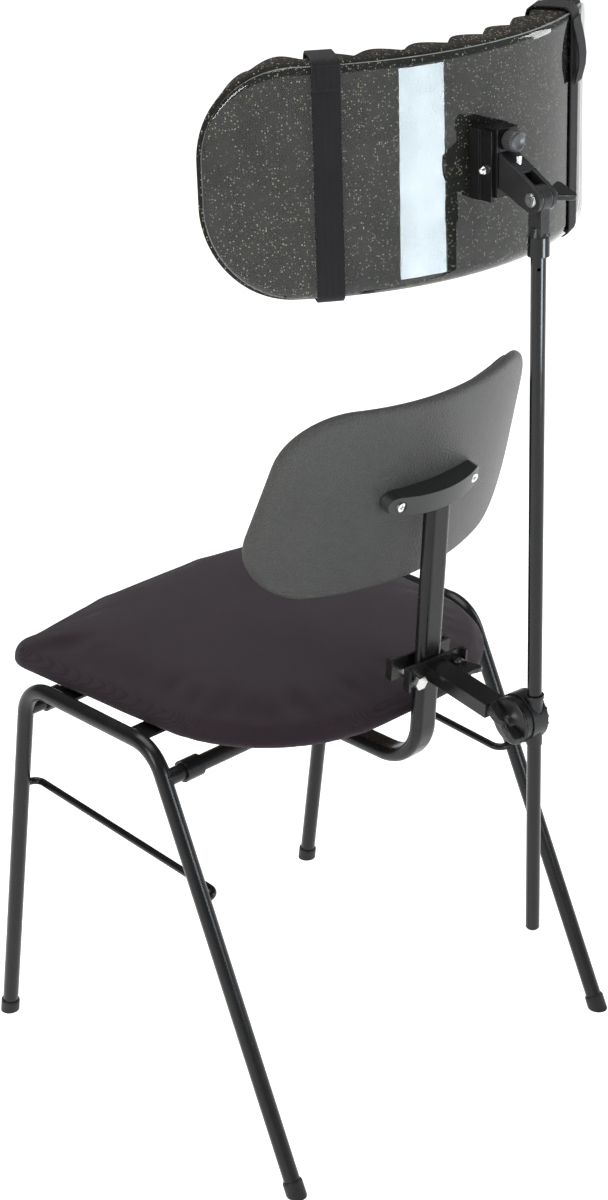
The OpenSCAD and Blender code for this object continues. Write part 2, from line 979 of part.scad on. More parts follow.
module link_head() {
    y0 = -57.5;
    color([0.06, 0.06, 0.06])
        place()
        mast_frame()
        difference() {
            translate([-12.3, y0, shield_z - 27]) cube([24.6, -40.55 - y0, 61]);
            translate([0, -53, shield_z - 3]) rod_x(2.52, -20, 20);
            translate([0, 0, shield_z + 24]) rod_y(2.56, -50, -30);
        }
}

module shield_bracket() {
    color([0.05, 0.05, 0.05])
        place()
        mast_frame()
        difference() {
            union() {
                translate([-18, -shield_reach - 1, shield_z - 31]) cube([36, 13, 64]);
                for (x = [-16, 12.6])
                    translate([x, -58.5, shield_z - 31]) cube([3.4, 14.5, 64]);
            }
            translate([0, curve_y, shield_z - 100])
                cylinder(r = plate_r + 0.02, h = 200, $fn = 720);
            translate([0, -53, shield_z - 3]) rod_x(2.52, -30, 30);
        }
}

module bracket_bolt() {
    color([0.8, 0.8, 0.8])
        place()
        mast_frame()
        translate([0, -53, shield_z - 3])
        union() {
            rod_x(2.5, -18, 18);
            rod_x(4.6, 16, 18.5);
            translate([18.5, 0, 0]) sphere(3.6);
            rod_x(4.6, -18.5, -16);
        }
}

module lock_knob() {
    color([0.22, 0.22, 0.22])
        place()
        mast_frame()
        translate([0, 0, shield_z + 24])
        union() {
            rod_y(2.5, -49, -38);
            rod_y(8, -40.2, -38);
            rod_y(9.6, -38, -27);
            rod_y(8.6, -27, -25.6);
        }
}

module link_screw() {
    color([0.8, 0.8, 0.8])
        place()
        mast_frame()
        difference() {
            translate([0, -26, tilt_z + 20]) cylinder(r = 2.8, h = 13);
            translate([-6.2, 0, 0]) rotate([90, 0, 90]) linear_extrude(height = 12.4) link_shape(0);
        }
}

// ---------- shield ----------

module shield_plate() {
    color([0.3, 0.35, 0.36, 0.6])
        place()
        mast_frame()
        translate([0, curve_y, shield_z])
        intersection() {
            difference() {
                translate([0, 0, -150]) cylinder(r = plate_r, h = 300, $fn = 180);
                translate([0, 0, -160]) cylinder(r = plate_r - plate_t, h = 320, $fn = 180);
            }
            translate([0, plate_r + 20, 0]) rotate([90, 0, 0]) linear_extrude(height = 220)
                plate_outline(0, plate_r);
        }
}

module shield_foam() {
    color([0.13, 0.12, 0.11])
        place()
        mast_frame()
        translate([0, curve_y, shield_z])
        intersection() {
            translate([0, 0, -150]) linear_extrude(height = 300) foam_section();
            translate([0, plate_r + 20, 0]) rotate([90, 0, 0]) linear_extrude(height = 280)
                plate_outline(5, foam_out);
        }
}

module strap(s) {
    half = plate_h / 2 + 6;
    r_in = foam_in - ridge_h - 1.2;
    color([0.05, 0.04, 0.05])
        place()
        mast_frame()
        translate([0, curve_y, shield_z]) rotate([0, 0, -s * strap_arc / plate_r * deg])
        difference() {
            translate([-strap_w / 2, r_in - 1.6, -half - 1.6])
                cube([strap_w, plate_r + 1.2 - r_in + 3.2, 2 * half + 3.2]);
            translate([-strap_w, r_in, -half])
                cube([2 * strap_w, plate_r + 1.2 - r_in, 2 * half]);
        }
}

module strap_left() {
    strap(1);
}

module strap_right() {
    strap(-1);
}

side_frame_left();
side_frame_right();
side_rod_left();
side_rod_right();
foot_caps();
cross_tubes();
cross_collars();
seat_tabs();
seat_screws();
seat_board();
seat_cushion();
back_upright();
upright_end_plug();
spine_saddles();
spine_bolts();
back_shell();
back_pad();
back_bar();
back_screws();
clamp_plate_rear();
clamp_plate_front();
clamp_hex_bolt();
clamp_weld_nut();
clamp_wing();
support_arm();
arm_end();
swivel_hub();
swivel_cap();
swivel_bolt();
swivel_knob();
mast_bush();
mast_rod();
mast_end_plug();
mast_sleeve();
mast_lug();
tilt_link();
tilt_washers();
tilt_bolt();
tilt_wing();
link_head();
shield_bracket();
bracket_bolt();
lock_knob();
link_screw();
shield_plate();
shield_foam();
strap_left();
strap_right();
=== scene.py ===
import json
import math
import bpy
import bmesh
from mathutils import Matrix, Vector, noise


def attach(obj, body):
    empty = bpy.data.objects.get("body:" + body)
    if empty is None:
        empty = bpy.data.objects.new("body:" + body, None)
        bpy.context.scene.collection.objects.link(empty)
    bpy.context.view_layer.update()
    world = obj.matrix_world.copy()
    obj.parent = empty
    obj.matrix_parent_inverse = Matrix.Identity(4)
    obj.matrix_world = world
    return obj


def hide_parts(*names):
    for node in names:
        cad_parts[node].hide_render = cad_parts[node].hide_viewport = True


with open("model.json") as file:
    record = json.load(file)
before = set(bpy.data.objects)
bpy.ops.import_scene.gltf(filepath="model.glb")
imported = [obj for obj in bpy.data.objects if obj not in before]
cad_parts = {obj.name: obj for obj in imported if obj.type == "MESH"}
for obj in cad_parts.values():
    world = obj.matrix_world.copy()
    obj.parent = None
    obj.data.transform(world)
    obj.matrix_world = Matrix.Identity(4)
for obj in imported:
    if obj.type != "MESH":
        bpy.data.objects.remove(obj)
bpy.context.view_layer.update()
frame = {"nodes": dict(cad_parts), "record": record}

NODES = frame["nodes"]
scene = bpy.context.scene

# the frame's origin, in the chair's own millimetres
MID_X, MID_Y = -4.3234, 55.5147


def P(x, y, z):
    """Chair millimetres to the frame in metres."""
    return Vector(((x - MID_X) / 1000, (y - MID_Y) / 1000, z / 1000))


def turned(axis, degrees):
    return Matrix.Rotation(math.radians(degrees), 4, axis)


def moved(x, y, z):
    """A shift in millimetres."""
    return Matrix.Translation(Vector((x, y, z)) / 1000)


# ---------- camera ----------
AZIMUTH, ELEVATION, ROLL = math.radians(137.46), math.radians(25.039), math.radians(-1.919)
CAMERA_AT = P(1621.55, 1793.05, 1638.42)
LENS = 76.42
back = Vector((
    math.sin(AZIMUTH) * math.cos(ELEVATION),
    -math.cos(AZIMUTH) * math.cos(ELEVATION),
    math.sin(ELEVATION),
))
right = Vector((0, 0, 1)).cross(back).normalized()
up = back.cross(right)
cam_x = math.cos(ROLL) * right + math.sin(ROLL) * up
cam_y = -math.sin(ROLL) * right + math.cos(ROLL) * up
cam_data = bpy.data.cameras.new("camera")
cam = bpy.data.objects.new("camera", cam_data)
scene.collection.objects.link(cam)
facing = Matrix((cam_x, cam_y, back)).transposed().to_4x4()
cam.matrix_world = Matrix.Translation(CAMERA_AT) @ facing
cam_data.sensor_width = 36
cam_data.lens = LENS
cam_data.clip_end = 400
scene.camera = cam
scene.view_settings.view_transform = "Standard"

# ---------- places and sizes in millimetres, as in the CAD ----------
BACK_R = 321.0
PLATE_R, PLATE_T, PLATE_H, PLATE_ARC, PLATE_C = 299.0, 3.0, 206.0, 532.0, 84.0
SHIELD_Z, SHIELD_REACH, TILT_Z = 1028.0, 70.0, 1007.0
STRAP_ARC = 155.0
SEAT = Matrix.Translation(P(0, 0, 0))
BACK = Matrix.Translation(P(0, 211.5, 700)) @ turned("X", -15)
CLAMP = Matrix.Translation(P(0, 203.12, 505)) @ turned("Z", -4.5) @ turned("X", -6.4)
SWIVEL = Matrix.Translation(P(9.855, 328.344, 490.91)) @ turned("Z", -4.5)
MAST = Matrix.Translation(P(-2.94, 344.197, 0)) @ turned("Z", -4.2)
SHIELD_HUB = MAST @ moved(0, -PLATE_R - SHIELD_REACH, SHIELD_Z)


# ---------- materials ----------
class Tree:
    """A material with its Principled shader and short ways to add nodes."""

    def __init__(self, name):
        self.mat = bpy.data.materials.new(name)
        self.mat.use_nodes = True
        self.nt = self.mat.node_tree
        self.out = self.nt.nodes["Material Output"]
        self.bsdf = self.nt.nodes["Principled BSDF"]
        self.coord = self.nt.nodes.new("ShaderNodeTexCoord").outputs["Object"]

    def node(self, kind, **sockets):
        n = self.nt.nodes.new("ShaderNode" + kind)
        for name, value in sockets.items():
            self.put(value, n.inputs[name])
        return n

    def put(self, value, socket):
        if isinstance(value, bpy.types.NodeSocket):
            self.nt.links.new(value, socket)
        else:
            socket.default_value = value

    def noise(self, scale, detail=4.0, rough=0.55, vector=None):
        n = self.node("TexNoise", Scale=scale, Detail=detail, Roughness=rough)
        self.nt.links.new(vector or self.coord, n.inputs["Vector"])
        return n.outputs["Fac"]

    def cells(self, scale):
        n = self.node("TexVoronoi", Scale=scale)
        self.nt.links.new(self.coord, n.inputs["Vector"])
        return n

    def math(self, op, a, b):
        n = self.node("Math")
        n.operation = op
        self.put(a, n.inputs[0])
        self.put(b, n.inputs[1])
        return n.outputs[0]

    def span(self, value, lo, hi, to_lo, to_hi):
        n = self.node("MapRange", Value=value)
        ends = {"From Min": lo, "From Max": hi, "To Min": to_lo, "To Max": to_hi}
        for name, end in ends.items():
            n.inputs[name].default_value = end
        return n.outputs["Result"]

    def mix(self, fac, a, b):
        n = self.nt.nodes.new("ShaderNodeMix")
        n.data_type = "RGBA"
        self.put(fac, n.inputs["Factor"])
        self.put(a, n.inputs[6])
        self.put(b, n.inputs[7])
        return n.outputs[2]

    def clouded(self, scale, detail, dark, light):
        """Colour that drifts between two."""
        return self.mix(self.span(self.noise(scale, detail), 0.3, 0.7, 0.0, 1.0), rgb(*dark), rgb(*light))

    def scaled(self, x, y, z):
        n = self.node("Mapping")
        self.nt.links.new(self.coord, n.inputs["Vector"])
        n.inputs["Scale"].default_value = (x, y, z)
        return n.outputs["Vector"]

    def bump(self, height, strength, distance, soft_edge=0.0):
        n = self.node("Bump", Height=height, Strength=strength, Distance=distance)
        if soft_edge:
            bevel = self.node("Bevel", Radius=soft_edge)
            bevel.samples = 4
            self.nt.links.new(bevel.outputs["Normal"], n.inputs["Normal"])
        self.nt.links.new(n.outputs["Normal"], self.bsdf.inputs["Normal"])

    def worn_edge(self, radius):
        """1 along the hard edges and 0 elsewhere."""
        bevel = self.node("Bevel", Radius=radius)
        bevel.samples = 4
        geo = self.nt.nodes.new("ShaderNodeNewGeometry")
        dot = self.node("VectorMath")
        dot.operation = "DOT_PRODUCT"
        self.nt.links.new(bevel.outputs["Normal"], dot.inputs[0])
        self.nt.links.new(geo.outputs["Normal"], dot.inputs[1])
        return self.span(dot.outputs["Value"], 0.99, 0.8, 0.0, 1.0)

    def weave(self, pitch):
        """Over and under threads at a pitch in metres, on any face direction."""
        split = self.node("SeparateXYZ")
        self.nt.links.new(self.coord, split.inputs[0])
        k = 2 * math.pi / pitch
        s = [self.math("SINE", self.math("MULTIPLY", split.outputs[i], k), 0.5) for i in range(3)]
        pairs = [self.math("MULTIPLY", s[i], s[(i + 1) % 3]) for i in range(3)]
        return self.math("ADD", self.math("ADD", pairs[0], pairs[1]), pairs[2])


def rgb(r, g, b):
    return (r, g, b, 1.0)


def coated(name, dark, light, rough, grain=900.0, bump=0.06, edge=0.0008, wear=0.0, metal=0.0, shine=0.5):
    """Paint, plastic or plated metal: clouded colour, uneven gloss, a fine skin and softened edges."""
    t = Tree(name)
    fine = t.noise(grain, 3.0, 0.6)
    colour = t.node("VectorMath")
    colour.operation = "SCALE"
    t.put(t.clouded(38.0, 5.0, dark, light), colour.inputs[0])
    t.put(t.span(fine, 0.35, 0.75, 0.9, 1.14), colour.inputs["Scale"])
    out = colour.outputs[0]
    if wear:
        bare = rgb(*[min(1.0, c * 3.2 + 0.05) for c in light])
        patchy = t.span(t.noise(160.0), 0.4, 0.65, 0.0, wear)
        out = t.mix(t.math("MULTIPLY", t.worn_edge(edge * 1.4), patchy), out, bare)
    t.put(out, t.bsdf.inputs["Base Color"])
    t.put(t.span(t.noise(90.0, 6.0), 0.3, 0.7, rough * 0.82, rough * 1.2), t.bsdf.inputs["Roughness"])
    t.bsdf.inputs["Metallic"].default_value = metal
    t.bsdf.inputs["Specular IOR Level"].default_value = shine
    t.bump(fine, bump, 0.0002, edge)
    return t.mat


def cloth(name, dark, light, speck, pitch, rough=0.9, sheen=0.1, fleck=0.62, depth=0.0005):
    """Woven threads, with painted shade in the low points between them, and sparse paler fibres."""
    t = Tree(name)
    threads = t.weave(pitch)
    fuzz = t.noise(1500.0, 2.0, 0.7)
    base = t.clouded(14.0, 4.0, dark, light)
    # painted shade: the low points of the weave are darkened towards a deeper copy of the dark colour
    base = t.mix(t.span(threads, -1.0, 1.0, 0.45, 0.0), base, rgb(*[c * 0.45 for c in dark]))
    base = t.mix(t.span(fuzz, fleck, fleck + 0.1, 0.0, 0.8), base, rgb(*speck))
    t.put(base, t.bsdf.inputs["Base Color"])
    t.put(t.span(fuzz, 0.3, 0.7, rough - 0.08, min(1.0, rough + 0.08)), t.bsdf.inputs["Roughness"])
    t.bsdf.inputs["Sheen Weight"].default_value = sheen
    t.bsdf.inputs["Sheen Roughness"].default_value = 0.45
    t.bsdf.inputs["Specular IOR Level"].default_value = 0.25
    t.bump(t.math("ADD", threads, t.math("MULTIPLY", fuzz, 1.6)), 0.5, depth)
    return t.mat


def pebbled(name, dark, light, rough, size, depth):
    """Moulded plastic with a leathery grain, and painted highlights on the high points of its fine grain."""
    t = Tree(name)
    fine = t.noise(size * 2.2, 3.0, 0.6)
    pebbles = t.math("MULTIPLY", t.cells(size).outputs["Distance"], -0.9)
    # painted highlight: a pale colour laid on the high points of the fine grain as glints
    painted_glint = rgb(*[c * 2.6 for c in light])
    base = t.mix(t.span(fine, 0.5, 0.68, 0.0, 0.6), t.clouded(9.0, 4.0, dark, light), painted_glint)
    t.put(base, t.bsdf.inputs["Base Color"])
    t.put(t.span(fine, 0.3, 0.7, rough - 0.08, rough + 0.1), t.bsdf.inputs["Roughness"])
    t.bump(t.math("ADD", pebbles, t.math("MULTIPLY", fine, 0.7)), 0.8, depth, 0.0008)
    return t.mat


def foam_material(name):
    """Open-cell charcoal foam, with painted shade in its pits and pale specks painted as glints."""
    t = Tree(name)
    pit = t.cells(620.0).outputs["Distance"]
    # painted glints: pale specks picked at random among small cells, standing in for the sparkle of the
    # foam's cells
    glint_cells = t.cells(560.0)
    pick = t.node("SeparateColor")
    t.nt.links.new(glint_cells.outputs["Color"], pick.inputs[0])
    glint_pick = t.span(pick.outputs[0], 0.74, 0.90, 0.0, 1.0)
    middle = t.span(glint_cells.outputs["Distance"], 0.45, 0.1, 0.0, 1.0)
    base = t.clouded(11.0, 4.0, (0.016, 0.015, 0.013), (0.024, 0.022, 0.019))
    # painted shade: the pits of the foam, low in the bump, are darkened towards near black
    base = t.mix(t.span(pit, 0.0, 0.5, 0.55, 0.0), base, rgb(0.006, 0.006, 0.005))
    # painted glints: the pale specks are mixed in here
    base = t.mix(t.math("MULTIPLY", glint_pick, middle), base, rgb(0.62, 0.55, 0.40))
    t.put(base, t.bsdf.inputs["Base Color"])
    t.put(t.span(pit, 0.0, 0.6, 1.0, 0.82), t.bsdf.inputs["Roughness"])
    t.bsdf.inputs["Specular IOR Level"].default_value = 0.15
    t.bump(t.math("ADD", pit, t.math("MULTIPLY", t.noise(1300.0, 3.0), 0.6)), 0.7, 0.0008)
    return t.mat


def clear_material(name):
    """Clear gloss sheet: what is behind shows, with a mirror gloss by angle and faint wiping marks."""
    t = Tree(name)
    wiped = t.noise(45.0, 6.0, 0.7, t.scaled(1.0, 1.0, 3.0))
    t.put(t.mix(wiped, rgb(0.97, 0.98, 0.98), rgb(1.0, 1.0, 1.0)), t.bsdf.inputs["Base Color"])
    t.put(t.span(wiped, 0.4, 0.75, 0.015, 0.06), t.bsdf.inputs["Roughness"])
    t.bsdf.inputs["Metallic"].default_value = 1.0
    clear = t.node("BsdfTransparent", Color=rgb(0.93, 0.95, 0.945))
    fresnel = t.node("Fresnel", IOR=1.5)
    smudge = t.span(t.noise(25.0, 5.0, 0.7), 0.45, 0.8, 0.0, 0.015)
    geo = t.nt.nodes.new("ShaderNodeNewGeometry")
    outside = t.math("SUBTRACT", 1.0, geo.outputs["Backfacing"])
    gloss = t.math("MULTIPLY", t.math("ADD", fresnel.outputs[0], smudge), outside)
    mixer = t.node("MixShader")
    t.put(gloss, mixer.inputs[0])
    t.put(clear.outputs[0], mixer.inputs[1])
    t.put(t.bsdf.outputs[0], mixer.inputs[2])
    t.put(mixer.outputs[0], t.out.inputs["Surface"])
    return t.mat


def wood_material(name):
    t = Tree(name)
    grain = t.noise(60.0, 6.0, 0.65, t.scaled(1.0, 0.08, 6.0))
    fine = t.noise(700.0, 3.0, 0.6, t.scaled(1.0, 0.06, 1.0))
    base = t.mix(t.span(grain, 0.3, 0.7, 0.0, 1.0), rgb(0.075, 0.052, 0.034), rgb(0.13, 0.095, 0.065))
    base = t.mix(t.span(fine, 0.5, 0.8, 0.0, 0.5), base, rgb(0.05, 0.034, 0.022))
    t.put(base, t.bsdf.inputs["Base Color"])
    t.put(t.span(grain, 0.3, 0.7, 0.5, 0.68), t.bsdf.inputs["Roughness"])
    t.bump(fine, 0.3, 0.0003, 0.0006)
    return t.mat


def grey(level, blue=0.0):
    return (level, level, level + blue)


MATS = {}


def finish(kind, name, *colours, **look):
    MATS[name] = kind(name, *colours, **look)


finish(coated, "frame_black", grey(0.005, 0.0005), grey(0.008, 0.0005), rough=0.26, grain=1100,
       bump=0.10, wear=0.2, shine=0.3)
finish(coated, "cap_plastic", grey(0.007), grey(0.011), rough=0.5, grain=1300,
       bump=0.2, edge=0.001, shine=0.3)
finish(coated, "zinc", (0.50, 0.51, 0.50), (0.66, 0.67, 0.65), rough=0.26, grain=700,
       bump=0.12, edge=0.0005, metal=1.0)
finish(wood_material, "plywood")
finish(cloth, "seat_fabric", (0.016, 0.0085, 0.0135), (0.023, 0.0125, 0.0185), (0.075, 0.050, 0.066),
       pitch=0.0011)
finish(cloth, "pad_fabric", grey(0.010, 0.001), grey(0.015, 0.001), grey(0.04, 0.002),
       pitch=0.0012, sheen=0.15)
finish(pebbled, "shell_plastic", grey(0.024, -0.0025), grey(0.034, -0.0035),
       rough=0.34, size=520.0, depth=0.0016)
finish(pebbled, "bar_plastic", grey(0.013), grey(0.019), rough=0.36, size=1500.0, depth=0.0002)
finish(coated, "bright_screw", grey(0.66), grey(0.78), rough=0.12, grain=500,
       bump=0.05, edge=0.0004, metal=1.0)
finish(coated, "clamp_steel", grey(0.008, -0.0005), grey(0.013, -0.001), rough=0.25, grain=1000,
       bump=0.10, edge=0.0006, wear=0.5, shine=0.4)
finish(coated, "arm_black", grey(0.006), grey(0.009), rough=0.22, grain=1000,
       bump=0.08, edge=0.0012, wear=0.35, shine=0.35)
finish(coated, "knob_plastic", grey(0.007), grey(0.011), rough=0.30, grain=1400,
       bump=0.14, edge=0.001, shine=0.35)
finish(coated, "bush_plastic", grey(0.006), grey(0.010), rough=0.36, grain=1200,
       bump=0.12, edge=0.0006, shine=0.35)
finish(coated, "mast_black", grey(0.004, 0.0005), grey(0.006, 0.0005), rough=0.14, grain=800,
       bump=0.04, wear=0.2, shine=0.35)
finish(coated, "cast_grey", grey(0.012, 0.001), grey(0.020, 0.001), rough=0.32, grain=900,
       bump=0.22, edge=0.0009, wear=0.3, shine=0.4)
finish(coated, "bracket_black", grey(0.005), grey(0.008), rough=0.18, grain=900,
       bump=0.06, edge=0.0007, wear=0.3, shine=0.4)
finish(coated, "grey_knob", grey(0.036, 0.002), grey(0.050, 0.002), rough=0.34, grain=1200,
       bump=0.15, edge=0.0009)
finish(clear_material, "clear_plate")
finish(foam_material, "foam_charcoal")
finish(cloth, "elastic_black", (0.008, 0.0065, 0.008), (0.012, 0.010, 0.012), (0.05, 0.045, 0.05),
       pitch=0.0016, rough=0.8, sheen=0.08, fleck=0.64, depth=0.0006)
# painted light: the plate's rim faces get an opaque pale colour for the light line that the clear edges show
plate_edge_painted_light = coated("plate_edge_painted_light", (0.16, 0.18, 0.18), (0.26, 0.29, 0.29), rough=0.3, grain=1200,
                    bump=0.2, edge=0.0)
thread_mat = cloth("thread", grey(0.006), grey(0.01), grey(0.03), pitch=0.0006, rough=0.7)

for part in frame["record"]["subparts"]:
    o = NODES[part["node"]]
    if not o.material_slots:
        o.data.materials.append(None)
    for s in o.material_slots:
        s.material = MATS[part["material_slot"]]


# ---------- mesh helpers: outlines and places are local millimetres ----------
def piece(name, shape, place, slot, body, stands_for=(), mat=None):
    """A mesh piece from (verts, faces) in local millimetres."""
    verts, faces = shape
    me = bpy.data.meshes.new(name)
    me.from_pydata([place @ (Vector(v) / 1000) for v in verts], [], faces)
    me.materials.append(mat or MATS[slot])
    o = bpy.data.objects.new(name, me)
    scene.collection.objects.link(o)
    bm = bmesh.new()
    bm.from_mesh(me)
    bmesh.ops.recalc_face_normals(bm, faces=bm.faces)
    bm.to_mesh(me)
    bm.free()
    me.shade_smooth()
    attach(o, body)
    if stands_for:
        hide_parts(*stands_for)
    return o


def modifier(o, kind, **values):
    m = o.modifiers.new(kind.lower(), kind)
    for k, v in values.items():
        setattr(m, k, v)
    return m


def bevelled(o, width, angle=50):
    modifier(o, "BEVEL", width=width / 1000, segments=4, limit_method="ANGLE",
             angle_limit=math.radians(angle), harden_normals=True)


def outline(circles, inset, pitch=9.0, steps=14):
    """Closed outline round circles (x, y, r), as in the CAD, its straight sides cut at a pitch."""
    def heading(a, b):
        away = math.hypot(b[0] - a[0], b[1] - a[1])
        return math.atan2(b[1] - a[1], b[0] - a[0]) - math.acos((a[2] - b[2]) / away)

    def on(c, angle, less):
        return (c[0] + (c[2] - less) * math.cos(angle), c[1] + (c[2] - less) * math.sin(angle))

    out = []
    for i, c in enumerate(circles):
        nxt = circles[(i + 1) % len(circles)]
        a0, a1 = heading(circles[i - 1], c), heading(c, nxt)
        side = a1
        if a1 < a0:
            a1 += 2 * math.pi
        out += [on(c, a0 + (a1 - a0) * k / steps, inset) for k in range(steps + 1)]
        p, q = out[-1], on(nxt, side, inset)
        cuts = int(math.dist(on(c, side, 0), on(nxt, side, 0)) / pitch)
        for k in range(1, cuts):
            out.append((p[0] + (q[0] - p[0]) * k / cuts, p[1] + (q[1] - p[1]) * k / cuts))
    return out


def shrunk(loop, size, centre=(0.0, 0.0)):
    return [(centre[0] + (x - centre[0]) * size, centre[1] + (y - centre[1]) * size) for x, y in loop]


def loops_mesh(loops):
    """Quads between successive closed loops, and a fan over the first and the last."""
    n = len(loops[0])
    verts = [v for loop in loops for v in loop]
    faces = []
    for j in range(len(loops) - 1):
        for i in range(n):
            k = (i + 1) % n
            faces.append((j * n + i, j * n + k, (j + 1) * n + k, (j + 1) * n + i))
    for j, flip in ((0, True), (len(loops) - 1, False)):
        middle = len(verts)
        verts.append(tuple(sum(v[a] for v in loops[j]) / n for a in range(3)))
        for i in range(n):
            f = (j * n + i, j * n + (i + 1) % n, middle)
            faces.append(f[::-1] if flip else f)
    return verts, faces


def ring_mesh(rows):
    """A closed band: rows of equal length, joined round both ways."""
    m, n = len(rows), len(rows[0])
    faces = []
    for j in range(m):
        for i in range(n):
            a, b = j * n, ((j + 1) % m) * n
            faces.append((a + i, a + (i + 1) % n, b + (i + 1) % n, b + i))
    return [v for r in rows for v in r], faces


def lathe(profile, steps=48, flutes=0, depth=0.0, fluted=()):
    """Turned about local X from (x, r) points; the listed points carry flutes."""
    loops = []
    for k, (x, r) in enumerate(profile):
        loop = []
        for i in range(steps):
            a = 2 * math.pi * i / steps
            cut = depth * (0.5 + 0.5 * math.cos(flutes * a)) if k in fluted else 0
            loop.append((x, (r - cut) * math.cos(a), (r - cut) * math.sin(a)))
        loops.append(loop)
    return loops_mesh(loops)


def slab(points, half):
    """A flat outline in local XY, thickened both ways."""
    n = len(points)
    verts = [(x, y, -half) for x, y in points] + [(x, y, half) for x, y in points]
    faces = [tuple(range(n))[::-1], tuple(range(n, 2 * n))]
    faces += [(i, (i + 1) % n, n + (i + 1) % n, n + i) for i in range(n)]
    return verts, faces


def joined(shapes):
    verts, faces = [], []
    for v, f in shapes:
        base = len(verts)
        verts += v
        faces += [tuple(i + base for i in q) for q in f]
    return verts, faces


# ---------- soft pieces ----------
PRESSURE = 4.0
FRAMES = 20


def settled(o, rest, held):
    """Where cloth under pressure puts the vertices, with the held ones pinned by weight."""
    group = o.vertex_groups.new(name="held")
    for v in o.data.vertices:
        w = held(v.co)
        if w > 0:
            group.add([v.index], w, "REPLACE")
    m = modifier(o, "CLOTH")
    m.settings.quality = 4
    m.settings.mass = 0.3
    m.settings.tension_stiffness = 12
    m.settings.compression_stiffness = 12
    m.settings.bending_stiffness = 1.2
    m.settings.use_pressure = True
    m.settings.uniform_pressure_force = PRESSURE
    m.settings.effector_weights.gravity = 0
    m.settings.vertex_group_mass = "held"
    m.collision_settings.use_collision = False
    scene.frame_start, scene.frame_end = 1, FRAMES
    m.point_cache.frame_start, m.point_cache.frame_end = 1, FRAMES
    for f in range(1, FRAMES + 1):
        scene.frame_set(f)
    dg = bpy.context.evaluated_depsgraph_get()
    swollen = [v.co.copy() for v in o.evaluated_get(dg).data.vertices]
    o.modifiers.remove(m)
    o.vertex_groups.clear()
    scene.frame_set(1)
    return swollen


def puffed(o, voxel, cap, held):
    """Remeshes a padded piece, lets cloth swell it by at most the cap, and keeps the result."""
    for other in bpy.context.selected_objects:
        other.select_set(False)
    bpy.context.view_layer.objects.active = o
    o.select_set(True)
    o.data.remesh_voxel_size = voxel / 1000
    bpy.ops.object.voxel_remesh()
    rest = [v.co.copy() for v in o.data.vertices]
    limit = cap / 1000
    for v, a, b in zip(o.data.vertices, rest, settled(o, rest, held)):
        d = b - a
        v.co = a + (d * (limit / d.length) if d.length > limit else d)
    o.data.shade_smooth()
    o.select_set(False)
    modifier(o, "SMOOTH", factor=0.5, iterations=4)
    modifier(o, "SUBSURF", levels=1, render_levels=1)


# ---------- seat ----------
SEAT_CIRCLES = [
    (-184.5, -186.0, 32.0), (-60.0, -140.0, 100.0), (60.0, -140.0, 100.0),
    (184.5, -186.0, 32.0), (40.0, 22.0, 164.0), (-40.0, 22.0, 164.0),
]
SEAT_MIDDLE = (0.0, -20.0)
SHOULDER = 469.0
CROWN = 15.5
# inset and height of the rolled rim, then of the tuck up to the board
SEAT_RIM = [(10, 468.2), (6.5, 465.8), (3.6, 462), (1.8, 457.5), (1.0, 452.5), (1.2, 448),
            (2.4, 444.4), (5.0, 441.8), (9, 440.7), (15.6, 440.9), (16.4, 446), (16.6, 451.8)]
SEAT_LOW = P(0, 0, 446).z


def seat_top(x, y, size):
    waterfall = 3.0 * size * size * max(0.0, (-y - 120) / 120) ** 2
    return (x, y, SHOULDER + CROWN * (1 - size ** 2.4) - waterfall)


def seat_loops():
    inner = outline(SEAT_CIRCLES, 14)
    sizes = (0.06, 0.15, 0.25, 0.35, 0.45, 0.55, 0.64, 0.73, 0.81, 0.88, 0.94, 1.0)
    loops = [[seat_top(x, y, s) for x, y in shrunk(inner, s, SEAT_MIDDLE)] for s in sizes]
    for inset, z in SEAT_RIM:
        loops.append([(x, y, z) for x, y in outline(SEAT_CIRCLES, inset)])
    return loops


def seat_held(c):
    """The underside is stapled to the board."""
    return 1.0 if c.z < SEAT_LOW else max(0.0, 1 - (c.z - SEAT_LOW) / 0.012)


seat = piece("seat_upholstery", loops_mesh(seat_loops()), SEAT, "seat_fabric", "chair", ("seat_cushion",))
puffed(seat, voxel=6.0, cap=5.0, held=seat_held)

# ---------- backrest ----------
BACK_CIRCLES = [(-118.0, -48, 61), (118.0, -48, 61), (99.0, 33, 68), (-99.0, 33, 68)]
BACK_IN = BACK.inverted()


def on_back(x, v, depth):
    """Point of the curved backrest: depth is measured inwards from its rear face."""
    return (x, math.sqrt((BACK_R - depth) ** 2 - x * x) - BACK_R, v)


def back_loops(rings):
    """Loops from (size, inset, depth) rings."""
    return [[on_back(x, v, depth) for x, v in shrunk(outline(BACK_CIRCLES, inset, 7.0), size)]
            for size, inset, depth in rings]


# inset and depth of the rounded rims
SHELL_RIM = [(5.5, 0.12), (3.6, 0.5), (2.0, 1.2), (0.8, 2.4), (0.1, 4.0), (0, 5.5), (0.1, 7.2),
             (0.6, 8.8), (1.5, 9.8), (3.2, 10), (7, 10)]
PAD_RIM = [(9.5, 10.7), (8.0, 11.6), (7.4, 13.2), (7.6, 15.2), (8.6, 17.0), (10.6, 18.6), (14, 19.8)]

rings = [(s, 9, 0.0) for s in (0.05, 0.2, 0.35, 0.5, 0.65, 0.78, 0.9, 1.0)]
rings += [(1, inset, depth) for inset, depth in SHELL_RIM]
rings += [(s, 9, 10.0) for s in (1.0, 0.8, 0.6, 0.4, 0.2, 0.05)]
shell = piece("back_shell_moulding", loops_mesh(back_loops(rings)), BACK, "shell_plastic", "chair",
              ("back_shell",))
modifier(shell, "SUBSURF", levels=1, render_levels=1)

